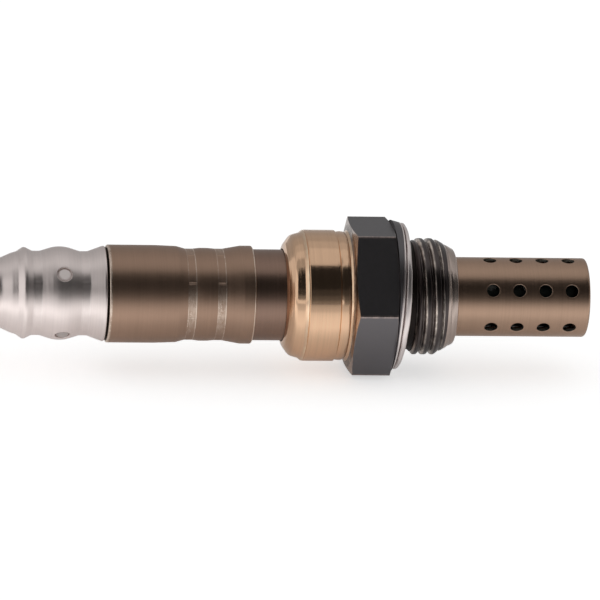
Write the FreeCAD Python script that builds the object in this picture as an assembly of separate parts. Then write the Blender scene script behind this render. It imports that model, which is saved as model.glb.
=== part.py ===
"""Heated exhaust oxygen sensor with a screwed housing, in millimetres.

The sensor's axis is X, with the probe tip towards +X and the lead end towards -X. The origin is on the axis
at the start of the full thread, and two flats of the hexagon are level. Left on a table, the sensor lies on
the rim of its gasket and on the shoulder of its dust cover.
"""
import FreeCAD, Part
import math
import os

os.makedirs("parts", exist_ok=True)
Vector = FreeCAD.Vector

# Clearance between pieces, and how far a cutting tool runs past the surface that it cuts
slide_gap = 0.05
overrun = 1.0

# Distance from a quarter round's corner to its middle along each side, as a share of its radius
quarter_bend = 1 - math.sqrt(0.5)

# Crushed gasket: a backing on the hexagon and two folds that lean to one side
gasket_diameter = 22.9
gasket_grip = 0.2
gasket_backing = 1.06
gasket_backing_flare = 0.35
gasket_inner_fold = 0.4
gasket_outer_fold = 0.9
gasket_fold_gap = 0.15
gasket_fold_root = 1.3
gasket_lip_drop = 0.35
gasket_crown_drop = 0.5
gasket_crown_inset = 0.27
gasket_crown_bow = 0.32
gasket_face_inset = 0.2
gasket_face_bow = 0.18
gasket_tilt = 3.4

# Housing: thread, relief groove and hexagon
thread_diameter = 18.0
thread_length = 3.9
thread_lead_angle = 30.0
nose_wall = 0.56
nose_round = 0.35
groove_depth = 0.8
groove_fillet = 0.3
hexagon_width = 22.0
hexagon_length = 6.55
hexagon_chamfer_angle = 12.0
hexagon_face_inset = 0.05

# Housing: collar that is rolled over the inner case
collar_diameter = 20.2
collar_length = 10.25
collar_step = 0.17
collar_step_length = 1.25
collar_neck_length = 1.05
collar_neck_depth = 0.25
collar_neck_bow = 0.2
collar_roll_length = 3.05
collar_roll_bow = 0.75
collar_lip_thickness = 1.5
collar_lip_round = 0.3

# Housing: bores
front_bore_diameter = 8.8
rear_bore_diameter = 12.0
ledge_depth = 1.5
case_bore_depth = 4.0

# Protectors over the probe
flange_thickness = 0.5
flange_width = 0.7
lip_thickness = 0.7
outer_protector_diameter = 12.2
outer_protector_wall = 0.5
outer_protector_reach = 20.7
outer_protector_round = 1.4
outer_hole_diameter = 2.0
outer_hole_rows = 6
outer_hole_columns = 4
outer_hole_pitch = 4.08
outer_hole_tip_distance = 2.95
outer_hole_angle = 24.0
inner_protector_diameter = 9.2
inner_protector_wall = 0.4
inner_protector_round = 1.0
protector_tip_gap = 1.2
inner_hole_diameter = 1.5
inner_hole_rows = 6
inner_hole_columns = 3
inner_hole_pitch = 5.2
inner_hole_tip_distance = 3.12
inner_hole_angle = 36.0
inner_tip_hole_diameter = 1.8

# Sensing element and heater
element_root_diameter = 6.6
element_tip_diameter = 4.6
element_shoulder_gap = 0.2
element_shoulder_length = 2.6
element_bore_diameter = 3.5
element_tip_gap = 3.2
element_tip_wall = 1.0
element_tail = 14.0
heater_diameter = 2.7
heater_chamfer = 0.3
heater_tip_gap = 1.4
heater_tail = 8.0

# Seals and insulator stacked behind the element's shoulder
washer_thickness = 0.4
powder_length = 3.6

# Inner case: the plain tube held in the collar
inner_case_diameter = 14.0
inner_case_wall = 0.5
inner_case_length = 13.3
inner_case_base_hole = 9.2
case_flange_width = 1.05

# Outer case: the long bronze-coloured sleeve with two crimped bands
outer_case_wall = 0.45
outer_case_length = 22.4
outer_case_overlap = 3.05
outer_case_waist_depth = 0.12
outer_case_crest_depth = 0.2
outer_case_band_depth = 0.5
outer_case_second_band_depth = 0.42
outer_case_mouth_rise = 0.1
outer_case_mouth_round = 0.3
outer_case_tube_entry = 0.35
outer_case_band_pitch = 4.55
outer_case_taper_length = 3.4
outer_case_run = 1.35
outer_case_crest_run = 1.05
outer_case_mouth_run = 1.85
crimp_band_width = 1.2
crimp_edge_round = 0.3
crest_round = 1.6

# Dust cover: the silver sleeve at the lead end
dust_cover_wall = 0.45
dust_cover_skirt_gap = 0.07
dust_cover_skirt_length = 4.1
dust_cover_seam = 0.3
dust_cover_rim_drop = 0.2
dust_cover_crest_drop = 0.15
dust_cover_shoulder_drop = 0.2
dust_cover_band_depth = 0.85
dust_cover_shoulder_round = 0.5
dust_cover_neck_diameter = 10.6
dust_cover_neck_length = 10.0
dust_cover_neck_band_depth = 0.4
dust_cover_rim_run = 2.5
dust_cover_run = 1.7
dust_cover_neck_run = 1.0
dust_cover_cone_length = 3.9
dust_cover_end_turn = 0.6
vent_diameter = 2.3
vent_count = 4
vent_angle = 38.8

# Jaw marks left between the crimping jaws
jaw_count = 8
jaw_angle = 28.0
jaw_mark_width = 0.35
jaw_mark_height = 0.18
jaw_mark_root = 0.1

# Grommet and filter at the lead end
grommet_lip_length = 1.0
grommet_lip_chamfer = 0.3
wire_bore_diameter = 2.4
wire_circle_diameter = 4.9
wire_count = 4
wire_angle = 45.0
filter_wall = 1.3
filter_margin = 0.15

# Terminal separator with its holder and spring
separator_gap = 0.53
separator_front_gap = 2.0
separator_shoulder_gap = 0.1
separator_shoulder_length = 2.9
separator_passage_diameter = 2.1
holder_wall = 0.4
holder_length = 6.5
disc_spring_width = 1.6
disc_spring_thickness = 0.3
disc_spring_edge = 0.1
disc_spring_height = 0.9

# Terminals
strip_width = 1.2
strip_thickness = 0.3
strip_bend_gap = 0.6
strip_entry = 1.0
barrel_diameter = 2.0
barrel_bore_diameter = 1.1
barrel_length = 4.0
clip_length = 1.9
clip_thickness = 0.35

# Diameters of what fits in or around another piece, in order from the probe to the lead end
hexagon_corner = hexagon_width / 2 / math.cos(math.radians(30))
hexagon_face = hexagon_width / 2 - hexagon_face_inset
groove_diameter = thread_diameter - 2 * groove_depth
flange_diameter = outer_protector_diameter + 2 * flange_width
nose_diameter = flange_diameter + 2 * (slide_gap + nose_wall)
element_shoulder_diameter = rear_bore_diameter - 2 * element_shoulder_gap
packing_bore_diameter = element_root_diameter + 2 * slide_gap
packing_diameter = rear_bore_diameter - 2 * slide_gap
lip_hole_diameter = inner_case_diameter + 4 * slide_gap
case_flange_diameter = inner_case_diameter + 2 * case_flange_width
case_bore_diameter = case_flange_diameter + 2 * slide_gap
outer_case_diameter = inner_case_diameter + 2 * (slide_gap + outer_case_wall)
outer_case_waist_diameter = outer_case_diameter - 2 * outer_case_waist_depth
outer_case_crest_diameter = outer_case_diameter - 2 * outer_case_crest_depth
outer_case_band_diameter = outer_case_diameter - 2 * outer_case_band_depth
outer_case_second_band_diameter = outer_case_diameter - 2 * outer_case_second_band_depth
outer_case_mouth_diameter = outer_case_diameter + 2 * outer_case_mouth_rise
dust_cover_skirt_diameter = outer_case_diameter - 2 * (outer_case_wall + dust_cover_skirt_gap)
dust_cover_rim_diameter = outer_case_diameter - 2 * dust_cover_rim_drop
dust_cover_crest_diameter = dust_cover_rim_diameter - 2 * dust_cover_crest_drop
dust_cover_shoulder_diameter = dust_cover_rim_diameter - 2 * dust_cover_shoulder_drop
dust_cover_band_diameter = dust_cover_rim_diameter - 2 * dust_cover_band_depth
dust_cover_neck_band_diameter = dust_cover_neck_diameter - 2 * dust_cover_neck_band_depth
filter_diameter = dust_cover_crest_diameter - 2 * (dust_cover_wall + slide_gap)
filter_seat_diameter = filter_diameter - 2 * filter_wall
separator_diameter = dust_cover_skirt_diameter - 2 * (dust_cover_wall + separator_gap)
separator_shoulder_diameter = outer_case_band_diameter - 2 * (outer_case_wall + separator_shoulder_gap)

# Lengths that follow from other pieces
thread_lead_slope = math.tan(math.radians(thread_lead_angle))
thread_lead_length = (thread_diameter - nose_diameter) / 2 / thread_lead_slope
gasket_folds = gasket_inner_fold + gasket_fold_gap + gasket_outer_fold
gasket_slope = math.tan(math.radians(gasket_tilt))
groove_length = gasket_backing + gasket_folds + gasket_slope * thread_diameter / 2 + slide_gap
outer_case_second_band_place = (outer_case_overlap - outer_case_tube_entry + outer_case_mouth_run
                                + crimp_band_width / 2)
outer_case_first_band_place = outer_case_second_band_place + outer_case_band_pitch
filter_length = vent_diameter + 2 * filter_margin
dust_cover_crest_length = filter_length + 2 * slide_gap

# Stations along the axis, from the tip's side to the lead end
seat_x = -groove_length
thread_end_x = thread_length
shell_end_x = thread_end_x + thread_lead_length
flange_face_x = shell_end_x - lip_thickness
flange_seat_x = flange_face_x - 2 * flange_thickness
tip_x = shell_end_x + outer_protector_reach
inner_tip_x = tip_x - outer_protector_wall - protector_tip_gap
ledge_x = seat_x + ledge_depth
hexagon_tail_x = seat_x - hexagon_length
collar_front_x = hexagon_tail_x - collar_neck_length
collar_tail_x = hexagon_tail_x - collar_length
collar_edge_x = collar_tail_x + collar_roll_length
lip_face_x = collar_tail_x + collar_lip_thickness
case_seat_x = lip_face_x + case_bore_depth
shoulder_front_x = ledge_x - washer_thickness
shoulder_back_x = shoulder_front_x - element_shoulder_length
packing_x = shoulder_back_x - powder_length - washer_thickness
element_tail_x = shoulder_back_x - element_tail
element_tip_x = inner_tip_x - inner_protector_wall - element_tip_gap
heater_tip_x = element_tip_x - element_tip_wall - heater_tip_gap
heater_tail_x = element_tail_x - heater_tail
inner_case_tail_x = case_seat_x - inner_case_length
outer_case_mouth_x = inner_case_tail_x + outer_case_overlap
first_band_x = outer_case_mouth_x - outer_case_first_band_place
second_band_x = outer_case_mouth_x - outer_case_second_band_place
outer_case_tail_x = outer_case_mouth_x - outer_case_length
cover_skirt_x = outer_case_tail_x + dust_cover_skirt_length
holder_front_x = cover_skirt_x + holder_length
separator_front_x = heater_tail_x - separator_front_gap
separator_tail_x = outer_case_tail_x + slide_gap
grommet_face_x = separator_tail_x - disc_spring_height
rim_x = outer_case_tail_x - dust_cover_seam
front_band_x = rim_x - dust_cover_rim_run - crimp_band_width / 2
crest_front_x = front_band_x - crimp_band_width / 2 - dust_cover_run
crest_back_x = crest_front_x - dust_cover_crest_length
vent_x = (crest_front_x + crest_back_x) / 2
back_band_x = crest_back_x - dust_cover_run - crimp_band_width / 2
shoulder_x = back_band_x - crimp_band_width / 2 - dust_cover_run
neck_x = shoulder_x - dust_cover_cone_length
neck_band_x = neck_x - dust_cover_neck_length / 2
cover_end_x = neck_x - dust_cover_neck_length


def outline(points):
    """Closed wire through (x, r) points; a point of four numbers ends an arc and starts with its middle."""
    edges = []
    here = Vector(points[0][0], 0, points[0][1])
    for point in points[1:] + points[:1]:
        there = Vector(point[-2], 0, point[-1])
        if len(point) == 4:
            middle = Vector(point[0], 0, point[1])
            edges.append(Part.Arc(here, middle, there).toShape())
        elif here.distanceToPoint(there) > 1e-6:
            edges.append(Part.LineSegment(here, there).toShape())
        here = there
    return Part.Wire(edges)


def turned(points):
    """Solid of revolution about the sensor's axis from an outline of (x, r) points."""
    face = Part.Face(outline(points))
    solid = face.revolve(Vector(0, 0, 0), Vector(1, 0, 0), 360)
    return solid if solid.Volume > 0 else solid.reversed()


def ring(x_low, x_high, bore_diameter, diameter):
    """Plain ring between two stations."""
    bore = bore_diameter / 2
    outside = diameter / 2
    return turned([(x_low, bore), (x_high, bore), (x_high, outside), (x_low, outside)])


def rod(x_low, x_high, diameter, offset=0.0, angle=0.0):
    """Cylinder along the axis, at an offset from it."""
    centre = around(x_low, offset, angle)
    return Part.makeCylinder(diameter / 2, x_high - x_low, centre, Vector(1, 0, 0))


def around(x, radius, angle):
    """Point at a radius, with its angle counted upwards from the -Y side."""
    turn = math.radians(angle)
    return Vector(x, -radius * math.cos(turn), radius * math.sin(turn))


def swung(shape, angle):
    """Copy of a shape drawn on the +Z side, turned to the given angle from the -Y side."""
    copy = shape.copy()
    copy.rotate(Vector(0, 0, 0), Vector(1, 0, 0), angle - 90)
    return copy


def bowed(start, end, bow):
    """Middle and end of an arc whose middle stands to the right of its chord by bow."""
    length = math.dist(start, end)
    middle_x = (start[0] + end[0]) / 2 + bow * (end[1] - start[1]) / length
    middle_r = (start[1] + end[1]) / 2 - bow * (end[0] - start[0]) / length
    return (middle_x, middle_r, end[0], end[1])


def rounded_corner(before, knot, after):
    """Arc that replaces the corner at an (x, r, radius) knot, as long as its two sides allow."""
    corner = Vector(knot[0], 0, knot[1])
    back = Vector(before[0], 0, before[1]) - corner
    ahead = Vector(after[0], 0, after[1]) - corner
    turn = math.pi - back.getAngle(ahead)
    reach = min(knot[2] * math.tan(turn / 2), 0.48 * back.Length, 0.48 * ahead.Length)
    if reach < 1e-3:
        return [(corner.x, corner.z)]
    radius = reach / math.tan(turn / 2)
    back.normalize()
    ahead.normalize()
    start = corner + back * reach
    end = corner + ahead * reach
    inward = (back + ahead).normalize()
    middle = corner + inward * radius * (1 / math.cos(turn / 2) - 1)
    return [(start.x, start.z), (middle.x, middle.z, end.x, end.z)]


def rounded_path(knots):
    """Path along straight lines between (x, r, radius) knots, with an arc at each inner one."""
    path = [knots[0][:2]]
    for before, knot, after in zip(knots, knots[1:], knots[2:]):
        path += rounded_corner(before, knot, after)
    return path + [knots[-1][:2]]


def shifted(knots, distance):
    """The same knots, nearer to the axis."""
    return [(x, r - distance, radius) for x, r, radius in knots]


def reversed_path(path):
    """The same path from its end to its start."""
    flipped = [path[-1][-2:]]
    for here, before in zip(path[::-1], path[-2::-1]):
        flipped.append(here[:2] + before[-2:] if len(here) == 4 else before[-2:])
    return flipped


def crimp(x, run_before, run_after, crest_before, crest_after, band):
    """Knots of one crimped band between two crests, given as radii."""
    half = crimp_band_width / 2
    return [
        (x - half - run_before, crest_before, crest_round), (x - half, band, crimp_edge_round),
        (x + half, band, crimp_edge_round), (x + half + run_after, crest_after, crest_round),
    ]


def radial_holes(diameter, x, radius, count, first_angle):
    """Drills around the axis, each from half of a wall's outer radius to past it."""
    drills = []
    for index in range(count):
        angle = first_angle + index * 360 / count
        start = around(x, radius / 2, angle)
        way = around(0, 1, angle)
        drills.append(Part.makeCylinder(diameter / 2, radius / 2 + overrun, start, way))
    return drills


def hexagon_prism(x_low, x_high):
    """Hexagonal bar with two level flats."""
    corners = [around(x_low, hexagon_corner, 60 * index) for index in range(7)]
    return Part.Face(Part.makePolygon(corners)).extrude(Vector(x_high - x_low, 0, 0))


def housing_hexagon():
    """Hexagon with a shallow turned chamfer on both ends."""
    outside = hexagon_corner + slide_gap
    chamfer = (outside - hexagon_face) * math.tan(math.radians(hexagon_chamfer_angle))
    envelope = turned([
        (hexagon_tail_x, 0), (hexagon_tail_x, hexagon_face), (hexagon_tail_x + chamfer, outside),
        (seat_x - chamfer, outside), (seat_x, hexagon_face), (seat_x, 0),
    ])
    return hexagon_prism(hexagon_tail_x, seat_x).common(envelope)


def housing_collar():
    """Collar with its rolled lip, two turned steps and the neck beside the hexagon."""
    radius = collar_diameter / 2
    step = radius - collar_step
    lip_hole = lip_hole_diameter / 2
    edge = lip_hole + collar_lip_round
    bend = quarter_bend * collar_lip_round
    roll_start = (collar_tail_x, edge)
    roll_end = (collar_edge_x, radius - collar_step / 2)
    step_x = collar_front_x - collar_step_length
    neck_start = (collar_front_x, step - collar_neck_depth)
    neck_end = (hexagon_tail_x, hexagon_face)
    return turned([
        (hexagon_tail_x, 0), (collar_tail_x + collar_lip_round, 0),
        (collar_tail_x + collar_lip_round, lip_hole),
        (collar_tail_x + bend, lip_hole + bend, collar_tail_x, edge),
        bowed(roll_start, roll_end, -collar_roll_bow),
        (collar_edge_x, radius), (step_x, radius), (step_x, step), (collar_front_x, step), neck_start,
        bowed(neck_start, neck_end, collar_neck_bow),
    ])


def housing_shank():
    """Relief groove, plain major diameter of the thread and the tapered nose."""
    groove = groove_diameter / 2
    thread = thread_diameter / 2
    nose = nose_diameter / 2
    fillet = quarter_bend * groove_fillet
    bend = quarter_bend * nose_round
    return turned([
        (seat_x, 0), (seat_x, groove + groove_fillet),
        (seat_x + fillet, groove + fillet, seat_x + groove_fillet, groove),
        (-groove_fillet, groove), (0, groove + groove_fillet), (0, thread), (thread_end_x, thread),
        (shell_end_x - nose_round, nose), (shell_end_x - bend, nose - bend, shell_end_x, nose - nose_round),
        (shell_end_x, 0),
    ])


def housing_bore():
    """Stepped bore: case bore, rear bore, element bore, flange pocket and lip hole."""
    lip_hole = lip_hole_diameter / 2
    case_bore = case_bore_diameter / 2
    pocket = flange_diameter / 2 + slide_gap
    nose_hole = outer_protector_diameter / 2 + slide_gap
    return turned([
        (collar_tail_x - overrun, 0), (collar_tail_x - overrun, lip_hole), (lip_face_x, lip_hole),
        (lip_face_x, case_bore), (case_seat_x, case_bore), (case_seat_x, rear_bore_diameter / 2),
        (ledge_x, rear_bore_diameter / 2), (ledge_x, front_bore_diameter / 2),
        (flange_seat_x, front_bore_diameter / 2), (flange_seat_x, pocket), (flange_face_x, pocket),
        (flange_face_x, nose_hole), (shell_end_x + overrun, nose_hole), (shell_end_x + overrun, 0),
    ])


def housing():
    """One turned and milled steel body."""
    body = housing_hexagon().fuse([housing_collar(), housing_shank()]).removeSplitter()
    return body.cut(housing_bore())


def gasket_fold_ring(folds_x):
    """The two folds as one ring, drawn upright, with a thin gap between them."""
    bore = thread_diameter / 2 - gasket_grip
    outside = gasket_diameter / 2
    gap_x = folds_x + gasket_inner_fold
    lip_x = gap_x + gasket_fold_gap
    far_x = lip_x + gasket_outer_fold
    root = outside - gasket_fold_root
    edge = outside - gasket_inner_fold / 2
    lip = (lip_x, outside - gasket_lip_drop)
    crown = (far_x - gasket_crown_inset, outside - gasket_crown_drop)
    return turned([
        (folds_x, bore), (folds_x, edge), (folds_x + gasket_inner_fold / 2, outside, gap_x, edge),
        (gap_x, root), (lip_x, root), lip, bowed(lip, crown, -gasket_crown_bow),
        bowed(crown, (far_x - gasket_face_inset, bore), -gasket_face_bow),
    ])


def gasket():
    """Folded sheet ring, crushed unevenly: a backing on the hexagon and two folds that lean to one side."""
    outside = gasket_diameter / 2
    backing_bore = thread_diameter / 2 - slide_gap
    lean = gasket_slope * outside
    folds_x = seat_x + gasket_backing
    folds = gasket_fold_ring(folds_x)
    folds.rotate(Vector(folds_x, 0, 0), Vector(0, 1, 0), gasket_tilt)
    backing = turned([
        (seat_x, backing_bore), (seat_x, outside + gasket_backing_flare),
        (folds_x + lean, outside - gasket_backing_flare), (folds_x + lean, backing_bore),
    ])
    beyond_folds = Part.makeBox(gasket_diameter, 2 * gasket_diameter, 2 * gasket_diameter)
    beyond_folds.translate(Vector(folds_x + gasket_inner_fold / 2, -gasket_diameter, -gasket_diameter))
    beyond_folds.rotate(Vector(folds_x, 0, 0), Vector(0, 1, 0), gasket_tilt)
    return backing.cut(beyond_folds).fuse(folds).removeSplitter()


def protector(diameter, wall, tip, corner, flange_x):
    """Deep-drawn cup with a flange at its mouth, open towards the housing."""
    outside = diameter / 2
    inside = outside - wall
    flange = flange_diameter / 2
    bottom = tip - wall
    bend = quarter_bend * corner
    inner_corner = corner - wall
    inner_bend = quarter_bend * inner_corner
    return turned([
        (flange_x, inside), (flange_x, flange), (flange_x + flange_thickness, flange),
        (flange_x + flange_thickness, outside), (tip - corner, outside),
        (tip - bend, outside - bend, tip, outside - corner), (tip, 0), (bottom, 0),
        (bottom, inside - inner_corner),
        (bottom - inner_bend, inside - inner_bend, bottom - inner_corner, inside),
    ])


def outer_protector():
    """Outer probe cover with four rows of six round holes."""
    cup = protector(outer_protector_diameter, outer_protector_wall, tip_x, outer_protector_round,
                    flange_face_x - flange_thickness)
    drills = []
    for column in range(outer_hole_columns):
        x = tip_x - outer_hole_tip_distance - column * outer_hole_pitch
        drills += radial_holes(outer_hole_diameter, x, outer_protector_diameter / 2, outer_hole_rows,
                               outer_hole_angle)
    return cup.cut(drills)


def inner_protector():
    """Inner probe cover, its holes turned away from the outer ones, with a hole in its tip."""
    cup = protector(inner_protector_diameter, inner_protector_wall, inner_tip_x, inner_protector_round,
                    flange_seat_x)
    drills = [rod(inner_tip_x - overrun, inner_tip_x + overrun, inner_tip_hole_diameter)]
    for column in range(inner_hole_columns):
        x = inner_tip_x - inner_hole_tip_distance - column * inner_hole_pitch
        drills += radial_holes(inner_hole_diameter, x, inner_protector_diameter / 2, inner_hole_rows,
                               inner_hole_angle)
    return cup.cut(drills)


def sensing_element():
    """Ceramic thimble, closed at the tip, with the shoulder that carries it."""
    root = element_root_diameter / 2
    end = element_tip_diameter / 2
    shoulder = element_shoulder_diameter / 2
    bore = element_bore_diameter / 2
    bore_end_x = element_tip_x - element_tip_wall
    bend = quarter_bend * end
    bore_bend = quarter_bend * bore
    return turned([
        (element_tail_x, bore), (element_tail_x, root), (shoulder_back_x, root), (shoulder_back_x, shoulder),
        (shoulder_front_x, shoulder), (shoulder_front_x, root), (ledge_x, root), (element_tip_x - end, end),
        (element_tip_x - bend, end - bend, element_tip_x, 0), (bore_end_x, 0),
        (bore_end_x - bore_bend, bore - bore_bend, bore_end_x - bore, bore),
    ])


def heater_rod():
    """Ceramic heater in the element's bore, with a small chamfer at its tip."""
    radius = heater_diameter / 2
    return turned([
        (heater_tail_x, 0), (heater_tail_x, radius), (heater_tip_x - heater_chamfer, radius),
        (heater_tip_x, radius - heater_chamfer), (heater_tip_x, 0),
    ])


def packing_ring(x_low, x_high):
    """Ring of the stack between the element's shank and the housing's rear bore."""
    return ring(x_low, x_high, packing_bore_diameter, packing_diameter)


def lower_packing():
    """Metal washer between the housing's ledge and the element's shoulder."""
    return packing_ring(shoulder_front_x, ledge_x)


def powder_seal():
    """Pressed ring of sealing powder behind the element's shoulder."""
    return packing_ring(packing_x + washer_thickness, shoulder_back_x)


def upper_packing():
    """Metal washer that closes the powder."""
    return packing_ring(packing_x, packing_x + washer_thickness)


def insulator_sleeve():
    """Ceramic sleeve from the packing washer to the clamping washer."""
    return packing_ring(case_seat_x + washer_thickness, packing_x)


def clamping_washer():
    """Washer between the ceramic sleeve and the base of the inner case."""
    return packing_ring(case_seat_x, case_seat_x + washer_thickness)


def inner_case():
    """Plain tube with a flange that the collar grips, and an inward base that holds the stack down."""
    outside = inner_case_diameter / 2
    inside = outside - inner_case_wall
    base_x = case_seat_x - inner_case_wall
    flange = case_flange_diameter / 2
    return turned([
        (case_seat_x, inner_case_base_hole / 2), (case_seat_x, flange), (base_x, flange), (base_x, outside),
        (inner_case_tail_x, outside), (inner_case_tail_x, inside), (base_x, inside),
        (base_x, inner_case_base_hole / 2),
    ])


def caulking_ring():
    """Soft ring that the collar's lip presses on the case flange."""
    return ring(lip_face_x, case_seat_x - inner_case_wall, inner_case_diameter + 2 * slide_gap,
                case_flange_diameter)


def outer_case_knots():
    """Outside of the outer case from its tail to the flare before its mouth."""
    body = outer_case_diameter / 2
    waist = outer_case_waist_diameter / 2
    crest = outer_case_crest_diameter / 2
    mouth = outer_case_mouth_diameter / 2
    first_crimp = crimp(first_band_x, outer_case_run, outer_case_crest_run, waist, crest,
                        outer_case_band_diameter / 2)
    second_crimp = crimp(second_band_x, outer_case_crest_run, outer_case_mouth_run, crest, mouth,
                         outer_case_second_band_diameter / 2)
    taper_x = first_crimp[0][0] - outer_case_taper_length
    return [(outer_case_tail_x, body, 0), (taper_x, body, crest_round)] + first_crimp + second_crimp


def jaw_marks(x, band_diameter):
    """Small ridges that stand between the crimping jaws on a pressed band."""
    ridge = Part.makeBox(crimp_band_width, jaw_mark_width, jaw_mark_height + jaw_mark_root)
    foot = band_diameter / 2 - jaw_mark_root
    ridge.translate(Vector(x - crimp_band_width / 2, -jaw_mark_width / 2, foot))
    return [swung(ridge, jaw_angle + index * 360 / jaw_count) for index in range(jaw_count)]


def outer_case():
    """Long sleeve over the inner case, crimped twice with an eight-jaw tool."""
    marks = jaw_marks(first_band_x, outer_case_band_diameter)
    marks += jaw_marks(second_band_x, outer_case_second_band_diameter)
    knots = outer_case_knots()
    mouth = outer_case_mouth_diameter / 2
    outside_end = [(outer_case_mouth_x - outer_case_mouth_round, mouth, 0),
                   (outer_case_mouth_x, mouth - outer_case_mouth_round, 0)]
    outside = rounded_path(knots + outside_end)
    inside = rounded_path(shifted(knots + [(outer_case_mouth_x, mouth, 0)], outer_case_wall))
    return turned(outside + reversed_path(inside)).fuse(marks).removeSplitter()


def dust_cover_knots():
    """Outside of the dust cover from the lead end to the end of its skirt."""
    neck = dust_cover_neck_diameter / 2
    band = dust_cover_band_diameter / 2
    crest = dust_cover_crest_diameter / 2
    shoulder = dust_cover_shoulder_diameter / 2
    rim = dust_cover_rim_diameter / 2
    skirt = dust_cover_skirt_diameter / 2
    turn = dust_cover_end_turn
    run = dust_cover_run
    neck_crimp = crimp(neck_band_x, dust_cover_neck_run, dust_cover_neck_run, neck, neck,
                       dust_cover_neck_band_diameter / 2)
    back_crimp = crimp(back_band_x, run, run, shoulder, crest, band)
    front_crimp = crimp(front_band_x, run, dust_cover_rim_run - slide_gap, crest, rim, band)
    shoulder_knot = [(shoulder_x, shoulder, dust_cover_shoulder_round)]
    return (
        [(cover_end_x, neck - turn, 0), (cover_end_x + turn, neck, turn)] + neck_crimp
        + [(neck_x, neck, crest_round)] + shoulder_knot + back_crimp[1:] + front_crimp
        + [(rim_x, rim, 0), (outer_case_tail_x - slide_gap, skirt, 0), (cover_skirt_x, skirt, 0)]
    )


def dust_cover():
    """Silver sleeve crimped on the grommet, with four vents over the filter."""
    knots = dust_cover_knots()
    inside = rounded_path(shifted(knots, dust_cover_wall))
    sleeve = turned(rounded_path(knots) + reversed_path(inside))
    marks = []
    for x in (front_band_x, back_band_x):
        marks += jaw_marks(x, dust_cover_band_diameter)
    marks += jaw_marks(neck_band_x, dust_cover_neck_band_diameter)
    vents = radial_holes(vent_diameter, vent_x, dust_cover_crest_diameter / 2, vent_count, vent_angle)
    return sleeve.fuse(marks).removeSplitter().cut(vents)


def filter_sleeve():
    """Porous sleeve under the vents, a little longer than a vent."""
    half = filter_length / 2
    return ring(vent_x - half, vent_x + half, filter_seat_diameter, filter_diameter)


def wire_places():
    """Angles of the four wires around the axis."""
    return [wire_angle + index * 360 / wire_count for index in range(wire_count)]


def grommet():
    """Rubber seal that fills the cover, with a groove for the filter and four wire bores."""
    half = filter_length / 2
    knots = [knot for knot in dust_cover_knots() if knot[0] < grommet_face_x]
    path = rounded_path(shifted(knots, dust_cover_wall + slide_gap))
    lip_x = path[0][0] - grommet_lip_length
    lip = path[0][1]
    face = path[-1][-1]
    solid = turned([
        (grommet_face_x, 0), (lip_x, 0), (lip_x, lip - grommet_lip_chamfer),
        (lip_x + grommet_lip_chamfer, lip),
    ] + path + [(grommet_face_x, face)])
    cuts = [ring(vent_x - half, vent_x + half, filter_seat_diameter, dust_cover_rim_diameter)]
    for angle in wire_places():
        cuts.append(rod(lip_x - overrun, grommet_face_x + overrun, wire_bore_diameter,
                        wire_circle_diameter / 2, angle))
    return solid.cut(cuts)


def terminal_separator():
    """Ceramic block with one passage for each terminal and a shoulder for the holder."""
    body = separator_diameter / 2
    shoulder = separator_shoulder_diameter / 2
    shoulder_end_x = holder_front_x + separator_shoulder_length
    solid = turned([
        (separator_tail_x, 0), (separator_tail_x, body), (holder_front_x, body), (holder_front_x, shoulder),
        (shoulder_end_x, shoulder), (shoulder_end_x, body), (separator_front_x, body), (separator_front_x, 0),
    ])
    low_x = separator_tail_x - overrun
    high_x = separator_front_x + overrun
    offset = wire_circle_diameter / 2
    passages = [rod(low_x, high_x, separator_passage_diameter, offset, angle) for angle in wire_places()]
    return solid.cut(passages)


def separator_holder():
    """Metal sleeve between the cover's skirt and the separator's shoulder."""
    inside = separator_diameter / 2 + slide_gap
    outside = inside + holder_wall
    flange = outer_case_diameter / 2 - outer_case_wall - slide_gap
    return turned([
        (cover_skirt_x, inside), (cover_skirt_x, flange), (cover_skirt_x + holder_wall, flange),
        (cover_skirt_x + holder_wall, outside), (holder_front_x, outside), (holder_front_x, inside),
    ])


def disc_spring():
    """Conical spring between the separator and the grommet."""
    outside = separator_diameter / 2
    bore = outside - disc_spring_width
    return turned([
        (separator_tail_x, bore), (separator_tail_x - disc_spring_thickness, bore),
        (grommet_face_x, outside - disc_spring_edge), (grommet_face_x, outside),
        (grommet_face_x + disc_spring_thickness, outside),
    ])


def terminal_strip(path, angle):
    """Bent strip through (x, r) points that ends in a crimp barrel in the grommet."""
    half = strip_thickness / 2
    centre = wire_circle_diameter / 2
    barrel_x = grommet_face_x - barrel_length
    places = path + [(grommet_face_x - strip_entry, centre)]
    points = [Vector(x, 0, r + half) for x, r in places]
    points += [Vector(x, 0, r - half) for x, r in places[::-1]]
    strip = Part.Face(Part.makePolygon(points + points[:1])).extrude(Vector(0, strip_width, 0))
    strip.translate(Vector(0, -strip_width / 2, 0))
    barrel = rod(barrel_x, grommet_face_x, barrel_diameter, centre, 90)
    hollow = rod(barrel_x - overrun, grommet_face_x + overrun, barrel_bore_diameter, centre, 90)
    return swung(strip.fuse(barrel.cut(hollow)).removeSplitter(), angle)


def strip_bend():
    """Place where a strip reaches the wire circle, in front of the separator."""
    return (separator_front_x + strip_bend_gap, wire_circle_diameter / 2)


def signal_terminal():
    """Contact sleeve in the element's bore with its strip."""
    outside = element_bore_diameter - 2 * slide_gap
    inside = heater_diameter + 2 * slide_gap
    middle = (outside + inside) / 4
    sleeve_tail_x = element_tail_x - clip_length
    sleeve = ring(sleeve_tail_x, element_tail_x + 2 * clip_length, inside, outside)
    start = (sleeve_tail_x + strip_thickness, middle + strip_thickness / 2)
    path = [start, (sleeve_tail_x - strip_thickness, start[1]), strip_bend()]
    return terminal_strip(path, wire_places()[0]).fuse(sleeve).removeSplitter()


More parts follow.
